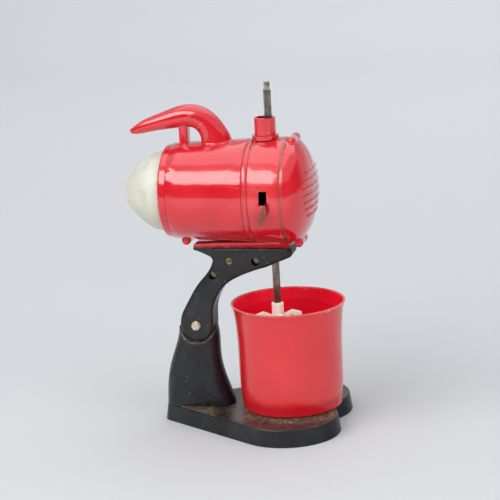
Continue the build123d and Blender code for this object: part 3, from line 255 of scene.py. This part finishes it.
# Glossy red moulding of the head, with scuffs, grime and painted shade in the creases, a painted shadow
# line along the dome's seam, and a hazy front whose lighter patches carry a painted sheen
def red_housing():
    deep_red, light_red = (0.51, 0.004, 0.012), (0.59, 0.009, 0.020)
    hazy_sheen, rubbed = (0.80, 0.24, 0.22), (0.45, 0.07, 0.07)
    scratched, grime_and_shade_colour = (0.90, 0.42, 0.40), (0.13, 0.045, 0.025)
    edge = 0.001
    m = Maker("red_housing")
    colour = m.mix(m.patches(38.0, 0.3, 0.75, detail=4.0), deep_red, light_red)
    # Lighter hazy patches on the front of the barrel, kept to its upper half: hazed plastic with a
    # painted sheen
    haze_and_sheen = m.times(m.along("X", SPINDLE_X - 0.014, SPINDLE_X - 0.006),
                   m.patches(55.0, 0.3, 0.8, 0.25, 1.0),
                   m.along("X", DOME_X - edge, DOME_X + edge, 1.0, 0.05),
                   m.along("Z", *BARREL_MIDDLE_Z, 0.2, 1.0),
                   m.along("Z", *BARREL_TOP_Z, 1.0, 0.0))
    colour = m.cover(colour, haze_and_sheen, 0.13, hazy_sheen)
    scuff = m.times(m.patches(70.0, 0.58, 0.74, detail=6.0, rough=0.7, stretch=(1.0, 1.0, 3.0)),
                    m.patches(14.0, 0.42, 0.62))
    colour = m.cover(colour, scuff, 0.20, rubbed)
    lines = m.plus(m.scratches(60.0, (0.3, 0.2, 0.1), 0.008, 0.1),
                   m.scratches(45.0, (0.1, 1.1, 0.4), 0.007, 0.4))
    lines = m.times(lines, m.patches(34.0, 0.52, 0.66, detail=5.0))
    colour = m.cover(colour, lines, 0.12, scratched)
    # Creases darkened towards brown: grime and painted shade
    dirt_and_shade = m.ramp(m.times(m.crease(0.0016), m.patches(160.0, 0.3, 0.7, 0.5, 1.3)), 0.30, 0.85)
    grime_and_shade = m.patches(240.0, 0.3, 0.7, 0.35, 1.0)
    ring = m.band("X", DOME_X - edge, 0.0008, 0.0004)
    # A painted shadow line along the dome's seam, set a little towards the far half
    seam_shadow = m.times(m.band("Y", 0.0004, 0.0006, 0.0003), m.along("X", DOME_X, DOME_X + edge))
    dirt_and_shade = m.math("MAXIMUM", dirt_and_shade, m.times(m.math("MAXIMUM", ring, seam_shadow), grime_and_shade))
    colour = m.cover(colour, dirt_and_shade, 0.62, grime_and_shade_colour)
    rough = m.math("ADD", m.patches(30.0, 0.3, 0.8, 0.13, 0.24, detail=5.0), m.times(haze_and_sheen, 0.16))
    rough = m.plus(rough, m.times(m.plus(dirt_and_shade, lines), 0.3))
    rough = m.plus(rough, m.times(scuff, 0.14))
    m.set(base_color=colour, ior=1.5, roughness=rough, coat_weight=1.0, coat_roughness=0.06)
    m.soft(0.08, (1.0, 0.15, 0.1), 0.002)
    m.bump(m.math("SUBTRACT", m.times(m.noise(90.0, 2.0), 0.6), m.times(lines, 0.5)), 0.20, 0.00012)
    return m.mat


def facing_axis(m, x):
    """1 on a face that looks towards the upright axis at x, and 0 on one that looks away."""
    normal = m.new("ShaderNodeNewGeometry").outputs["Normal"]
    dot = m.vector_math("DOT_PRODUCT", m.away((x, 0.0, 0.0), ACROSS_Z), normal, "Value")
    return m.ramp(dot, -0.010, 0.0, 1.0, 0.0)


# Satin orange-red of the bowl: a darker foot, which is a painted reflection of the dark base; a deeper,
# duller inside, painted a brighter red for the light within the bowl; a chipped rim; painted shade in
# the creases
def red_bowl():
    deep_red, light_red = (0.57, 0.012, 0.016), (0.63, 0.020, 0.024)
    base_reflection_red, lit_inside_red = (0.45, 0.002, 0.010), (0.95, 0.009, 0.034)
    chipped, worn_lip = (0.93, 0.42, 0.38), (0.86, 0.24, 0.22)
    speckled, scratched, grime_and_shade_colour = (0.35, 0.03, 0.03), (0.92, 0.35, 0.33), (0.30, 0.02, 0.02)
    m = Maker("red_bowl")
    colour = m.mix(m.patches(26.0, 0.3, 0.75, detail=4.0), deep_red, light_red)
    # Painted reflection of the dark base: the foot is a darker red
    foot = m.along("Z", *BOWL_FOOT_Z)
    colour = m.cover(colour, foot, 0.8, base_reflection_red)
    # Painted light inside the bowl: a brighter, deeper red on the faces towards the axis
    within = facing_axis(m, BOWL_X)
    colour = m.mix(within, colour, lit_inside_red)
    rim = m.along("Z", *BOWL_RIM_Z)
    chips = m.times(rim, m.patches(420.0, 0.54, 0.62, detail=5.0, rough=0.65),
                    m.patches(26.0, 0.42, 0.58, 0.2, 1.0))
    colour = m.cover(colour, chips, 0.65, chipped)
    lip = m.times(m.along("Z", *BOWL_LIP_Z), m.patches(60.0, 0.3, 0.7, 0.25, 0.8, detail=4.0))
    colour = m.cover(colour, lip, 0.6, worn_lip)
    colour = m.cover(colour, m.patches(900.0, 0.68, 0.74, detail=2.0), 0.18, speckled)
    lines = m.times(m.scratches(38.0, (0.0, 0.25, 0.5), 0.006, 0.7), m.patches(18.0, 0.5, 0.66))
    colour = m.cover(colour, lines, 0.03, scratched)
    # Painted shade: the creases are a darker red
    colour = m.cover(colour, m.crease(0.003), 0.5, grime_and_shade_colour)
    rough = m.plus(m.patches(22.0, 0.3, 0.8, 0.20, 0.30, detail=5.0), m.times(chips, 0.25))
    shine = m.times(m.between(within, 0.6, 0.15), m.between(foot, 1.0, 0.5))
    coat = m.times(m.between(within, 0.35, 0.0), m.between(foot, 1.0, 0.4))
    m.set(base_color=colour, roughness=rough, ior=1.54, specular_ior_level=shine)
    m.set(coat_weight=coat, coat_roughness=0.16)
    m.soft(0.15, (1.0, 0.2, 0.15), 0.003)
    m.bump(m.math("SUBTRACT", m.times(m.noise(60.0), 0.7), m.times(chips, 1.2)), 0.13, 0.0002)
    return m.mat


# Satin black of the stand and arm, with brown dust on what faces up and in the creases
def black_stand():
    deep_black, light_black = (0.006, 0.0065, 0.008), (0.012, 0.0125, 0.015)
    dusty, shaded, filmed = (0.38, 0.27, 0.16), (0.001, 0.001, 0.001), (0.10, 0.10, 0.11)
    crusted, rim_dusty, speckled = (0.17, 0.11, 0.06), (0.26, 0.19, 0.11), (0.34, 0.30, 0.25)
    worn_and_highlight_grey, scratched = (0.30, 0.29, 0.28), (0.20, 0.20, 0.21)
    m = Maker("black_stand")
    colour = m.mix(m.patches(30.0, 0.3, 0.75, detail=4.0), deep_black, light_black)

    # Dust on the base, most of it by the column and by the bowl's foot
    facing = m.new("ShaderNodeSeparateXYZ")
    m.link(m.new("ShaderNodeNewGeometry").outputs["Normal"], facing.inputs[0])
    flat_top = m.times(m.ramp(facing.outputs["Z"], 0.75, 0.98), m.along("Z", *BASE_TOP_Z))
    by_bowl = m.ramp(m.reach((BOWL_X, 0.0, 0.0), ACROSS_Z), 0.034, 0.042, 1.0, 0.35)
    foot = m.times(flat_top, m.math("MAXIMUM", m.along("X", 0.0, -0.022), by_bowl))
    grains = m.patches(950.0, 0.51, 0.58, detail=4.0, rough=0.7)
    patch = m.patches(45.0, 0.34, 0.66, 0.4, 1.0, detail=5.0, rough=0.6)
    near_column = m.along("X", -0.012, -0.022, 0.12, 0.40)
    dust = m.times(foot, m.math("ADD", m.times(grains, 0.9), near_column), patch)
    colour = m.cover(colour, dust, 0.9, dusty)

    # Shade in the two deep screw pockets, a thin film, and crust in the creases
    pocket = m.times(m.around(DEEP_SCREWS, 0.0022, 0.0027), m.along("Y", -0.002, -0.003))
    colour = m.mix(pocket, colour, shaded)
    film = m.patches(60.0, 0.42, 0.75, detail=6.0, rough=0.7, stretch=(1.0, 1.0, 0.5))
    colour = m.cover(colour, film, 0.09, filmed)
    crust = m.times(m.crease(0.0022), m.patches(260.0, 0.35, 0.65, 0.3, 1.2))
    crust = m.ramp(crust, 0.25, 0.75)
    colour = m.cover(colour, crust, 0.60, crusted)

    # Dust along the lower rim of the socket that the arm turns in
    from_pivot = m.reach(PIVOT, ACROSS_Y)
    rim = m.times(m.ramp(from_pivot, 0.0088, 0.0097), m.ramp(from_pivot, 0.0108, 0.0118, 1.0, 0.0),
                  m.along("Z", PIVOT_Z + 0.001, PIVOT_Z - 0.004),
                  m.patches(320.0, 0.40, 0.62, 0.15, 1.0))
    colour = m.cover(colour, rim, 0.55, rim_dusty)

    # Specks, worn edges that also carry a painted edge highlight, and scratches
    colour = m.cover(colour, m.patches(800.0, 0.70, 0.76, detail=2.0), 0.50, speckled)
    brightened = m.times(m.ramp(m.crease(0.0010, True), 0.35, 0.8),
                   m.patches(90.0, 0.35, 0.65, 0.2, 1.0, detail=4.0))
    colour = m.cover(colour, brightened, 0.40, worn_and_highlight_grey)
    lines = m.plus(m.scratches(70.0, (0.5, 0.1, 0.7), 0.006, 0.2),
                   m.scratches(50.0, (0.2, 0.9, 0.0), 0.006, 0.9))
    lines = m.times(lines, m.patches(20.0, 0.48, 0.64))
    colour = m.cover(colour, lines, 0.14, scratched)

    # Gloss: less on faces towards the bowl and none in the pockets
    towards_bowl = m.ramp(facing.outputs["X"], 0.70, 0.92, 1.0, 0.25)
    shine = m.times(m.patches(48.0, 0.35, 0.65, 0.33, 0.50, detail=5.0, rough=0.6), towards_bowl,
                    m.between(pocket, 1.0, 0.0))
    rough = m.patches(34.0, 0.3, 0.8, 0.24, 0.36, detail=5.0)
    rough = m.plus(rough, m.times(m.plus(dust, crust), 0.4))
    m.set(base_color=colour, ior=1.5, specular_ior_level=shine, roughness=rough)
    height = m.math("ADD", m.times(m.noise(70.0), 0.5), m.times(grains, foot, 0.25))
    m.bump(m.math("SUBTRACT", height, m.times(lines, 0.3)), 0.22, 0.00015, 0.0013)
    return m.mat


# Waxy off-white of the knob and the beater
def waxy(name, light, dark, grime_and_shade):
    m = Maker(name)
    colour = m.mix(m.patches(32.0, 0.3, 0.75, detail=4.0), light, dark)
    # Creases darkened towards brown: grime and painted shade
    dirt_and_shade = m.ramp(m.times(m.crease(0.003), m.patches(120.0, 0.3, 0.7, 0.5, 1.3)), 0.3, 0.9)
    colour = m.cover(colour, dirt_and_shade, 0.5, grime_and_shade)
    colour = m.cover(colour, m.patches(700.0, 0.70, 0.76, detail=2.0), 0.25, grime_and_shade)
    lines = m.times(m.scratches(60.0, (0.2, 0.5, 0.9), 0.006, 0.5), m.patches(22.0, 0.5, 0.66))
    colour = m.cover(colour, lines, 0.25, grime_and_shade)
    m.set(base_color=colour, ior=1.46, roughness=m.patches(40.0, 0.3, 0.8, 0.34, 0.48, detail=4.0))
    m.soft(0.35, (1.0, 0.9, 0.6), 0.004)
    m.bump(m.noise(80.0), 0.15, 0.00015)
    return m.mat


# How the brushing of a metal runs: drawn out along Z, or the same every way
ALONG_Z = (1.0, 1.0, 0.08)
EVERY_WAY = (1.0, 1.0, 1.0)


def metal(name, colour, stain, rough=0.34, stained=0.5, stretch=ALONG_Z, metallic=1.0):
    """Metal with tarnish, stains and fine brushing: its maker and its colour."""
    tarnish, grime_and_shade_colour = tuple(0.6 * c for c in stain), (0.05, 0.035, 0.02)
    m = Maker(name)
    brushed = m.noise(900.0, 3.0, 0.6, stretch)
    blotch = m.patches(130.0, 0.38, 0.66, detail=5.0, rough=0.65)
    base = m.cover(colour, blotch, stained, stain)
    base = m.mix(m.ramp(brushed, 0.35, 0.65, 0.0, 0.35), base, tarnish)
    # Creases darkened towards brown: grime and painted shade
    base = m.cover(base, m.ramp(m.crease(0.0015), 0.3, 0.9), 0.6, grime_and_shade_colour)
    grain = m.ramp(brushed, 0.3, 0.7, rough - 0.06, rough + 0.08)
    m.set(base_color=base, metallic=metallic, roughness=m.plus(grain, m.times(blotch, 0.15)))
    m.bump(brushed, 0.15, 0.00008)
    return m, base


def rod_steel():
    """Dull steel of the square rod, with a bright, worn tip."""
    bright = (0.66, 0.64, 0.59)
    m, base = metal("rod_steel", (0.36, 0.33, 0.29), (0.15, 0.135, 0.11), 0.36, 0.75)
    brightened = m.times(m.along("Z", *ROD_TIP_Z), m.patches(380.0, 0.38, 0.60))
    m.set(base_color=m.mix(brightened, base, bright))
    return m.mat


def brass_screws():
    """Dull brass, with painted light where a screw sits deep in its pocket: lighter and less metallic
    there.
    """
    pocket_lit_brass = (0.90, 0.76, 0.46)
    m, base = metal("brass_screws", (0.42, 0.32, 0.16), (0.16, 0.11, 0.05), 0.38, 0.6, EVERY_WAY)
    deep = m.around(DEEP_SCREWS, 0.0030, 0.0036)
    m.set(base_color=m.mix(deep, base, pocket_lit_brass), metallic=m.between(deep, 1.0, 0.3))
    return m.mat


def plain_metal(*values):
    """Material of a metal that needs nothing more."""
    return metal(*values)[0].mat


looks = {
    "red_housing": red_housing(),
    "red_bowl": red_bowl(),
    "black_stand": black_stand(),
    "cream_knob": waxy("cream_knob", (0.57, 0.57, 0.49), (0.51, 0.51, 0.43), (0.33, 0.29, 0.18)),
    "cream_beater": waxy("cream_beater", (0.97, 0.92, 0.80), (0.91, 0.84, 0.70), (0.45, 0.30, 0.18)),
    "rod_steel": rod_steel(),
    # The lever's steel is tinted red: partly its own brown tarnish, partly a painted reflection of the
    # red housing
    "lever_steel": plain_metal("lever_steel", (0.62, 0.20, 0.16), (0.30, 0.10, 0.08), 0.34, 0.7),
    "bolt_steel": plain_metal("bolt_steel", (0.68, 0.60, 0.48), (0.42, 0.33, 0.22), 0.42, 0.5,
                              EVERY_WAY, 0.6),
    "brass_screws": brass_screws(),
    "clock_steel": plain_metal("clock_steel", (0.50, 0.49, 0.47), (0.25, 0.23, 0.20)),
    "clock_brass": plain_metal("clock_brass", (0.62, 0.46, 0.20), (0.34, 0.22, 0.09), 0.32),
    "spring_steel": plain_metal("spring_steel", (0.14, 0.17, 0.24), (0.07, 0.06, 0.07), 0.30),
}
slot_of = {s["node"]: s["material_slot"] for s in frame["record"]["subparts"]}

# Carried-over CAD nodes: welded shading, edges softened by so many mm, and the slot's material
SOFT_EDGES = {"base": 0.5, "column": 0.4, "arm_near": 0.5, "arm_far": 0.5, "beater": 0.45, "bowl": 0.5,
              "beater_rod": 0.15, "collar": 0.3, "bezel": 0.3, "stop_lever": 0.12, "pivot_bolt": 0.15}
EDGE_ANGLE = 38.0
for name, obj in nodes.items():
    obj.data.materials.clear()
    obj.data.materials.append(looks[slot_of[name]])
    weld = obj.modifiers.new("weld", "WELD")
    weld.merge_threshold = 1e-6
    if name in SOFT_EDGES:
        bevel = obj.modifiers.new("bevel", "BEVEL")
        bevel.width = SOFT_EDGES[name] / 1000.0
        bevel.segments = 3
        bevel.limit_method = "ANGLE"
        bevel.angle_limit = radians(EDGE_ANGLE)
        bevel.use_clamp_overlap = True
        bevel.harden_normals = False
    obj.data.shade_smooth()
    even = obj.modifiers.new("even_normals", "WEIGHTED_NORMAL")
    even.mode = "FACE_AREA"
    even.weight = 100
    even.thresh = 0.01


# Floor and backdrop: one pale sweep that turns up behind the object
def sweep():
    half_width, front, turn, bend_r, height, steps = 2.4, -1.15, 1.4, 0.8, 2.6, 24
    floor_grey, back_grey, near_grey = (0.51, 0.52, 0.535), (0.76, 0.775, 0.80), (0.66, 0.66, 0.66)
    verts, faces = [], []
    profile = [(front, 0.0), (turn, 0.0)]
    for i in range(1, steps + 1):
        a = radians(90.0 * i / steps)
        profile.append((turn + bend_r * sin(a), bend_r - bend_r * cos(a)))
    profile.append((turn + bend_r, height))
    for y, z in profile:
        verts += [(-half_width, y, z), (half_width, y, z)]
    for i in range(len(profile) - 1):
        faces.append((2 * i, 2 * i + 1, 2 * i + 3, 2 * i + 2))
    mesh = bpy.data.meshes.new("sweep")
    mesh.from_pydata(verts, [], faces)
    mesh.shade_smooth()
    obj = bpy.data.objects.new("sweep", mesh)
    bpy.context.scene.collection.objects.link(obj)
    m = Maker("sweep")
    colour = m.mix(m.along("Y", -0.1, 1.7), floor_grey, back_grey)
    colour = m.mix(m.along("Y", -0.17, -0.42), colour, near_grey)
    m.set(base_color=colour, roughness=0.8)
    m.bump(m.noise(300.0), 0.05, 0.0005)
    mesh.materials.append(m.mat)


sweep()


def area(name, spot, aim, size, power, colour, mirrored):
    """Soft rectangular lamp that only lights, or also shows in gloss where mirrored."""
    data = bpy.data.lights.new(name, "AREA")
    data.shape = "RECTANGLE"
    data.size, data.size_y = size
    data.energy = power
    data.color = colour
    obj = bpy.data.objects.new(name, data)
    bpy.context.scene.collection.objects.link(obj)
    obj.location = spot
    obj.rotation_mode = "QUATERNION"
    obj.rotation_quaternion = (Vector(aim) - Vector(spot)).to_track_quat("-Z", "Y")
    obj.visible_camera = False
    obj.visible_glossy = mirrored


# World: an even pale tent with a dark low band in front and at the sides, there for reflections
# and light. The camera sees the tent pale all round.
def tent():
    pale, dark, strength = (0.85, 0.88, 0.92, 1.0), (0.10, 0.10, 0.11, 1.0), 0.75
    world = bpy.data.worlds.new("world")
    world.use_nodes = True
    bpy.context.scene.world = world
    tree = world.node_tree
    parts = tree.nodes.new("ShaderNodeSeparateXYZ")
    tree.links.new(tree.nodes.new("ShaderNodeTexCoord").outputs["Generated"], parts.inputs[0])

    def ramp(name, low, high):
        n = tree.nodes.new("ShaderNodeMapRange")
        n.interpolation_type = "SMOOTHSTEP"
        tree.links.new(parts.outputs[name], n.inputs["Value"])
        n.inputs["From Min"].default_value = low
        n.inputs["From Max"].default_value = high
        return n.outputs["Result"]

    unseen = tree.nodes.new("ShaderNodeMath")
    unseen.operation = "SUBTRACT"
    unseen.inputs[0].default_value = 1.0
    tree.links.new(tree.nodes.new("ShaderNodeLightPath").outputs["Is Camera Ray"], unseen.inputs[1])

    # Share of the dark: below the lamps, above the floor, not behind the object, not for the camera
    share = ramp("Z", 0.46, 0.40)
    for other in (ramp("Z", -0.30, -0.22), ramp("Y", 0.75, 0.35), unseen.outputs[0]):
        n = tree.nodes.new("ShaderNodeMath")
        n.operation = "MULTIPLY"
        tree.links.new(share, n.inputs[0])
        tree.links.new(other, n.inputs[1])
        share = n.outputs[0]
    mix = tree.nodes.new("ShaderNodeMix")
    mix.data_type = "RGBA"
    tree.links.new(share, mix.inputs["Factor"])
    mix.inputs["A"].default_value = pale
    mix.inputs["B"].default_value = dark
    back = tree.nodes["Background"]
    tree.links.new(mix.outputs["Result"], back.inputs["Color"])
    back.inputs["Strength"].default_value = strength


# Soft studio light
WARM, COOL, WHITE = (1.0, 0.985, 0.965), (0.95, 0.975, 1.0), (1.0, 1.0, 1.0)
area("key", (-0.75, -0.95, 1.09), (0.0, 0.0, 0.12), (1.5, 0.74), 17.0, WARM, mirrored=True)
area("fill", (1.3, -0.7, 0.6), (0.0, 0.0, 0.1), (1.0, 1.0), 8.0, COOL, mirrored=False)
area("top", (0.1, 0.5, 1.6), (0.0, 0.3, 0.1), (1.8, 2.5), 13.5, WHITE, mirrored=True)
area("bounce", (0.05, -0.46, 0.10), (0.05, -0.20, 0.34), (1.3, 0.4), 2.5, WHITE, mirrored=False)
tent()
bpy.context.scene.view_settings.view_transform = "Standard"
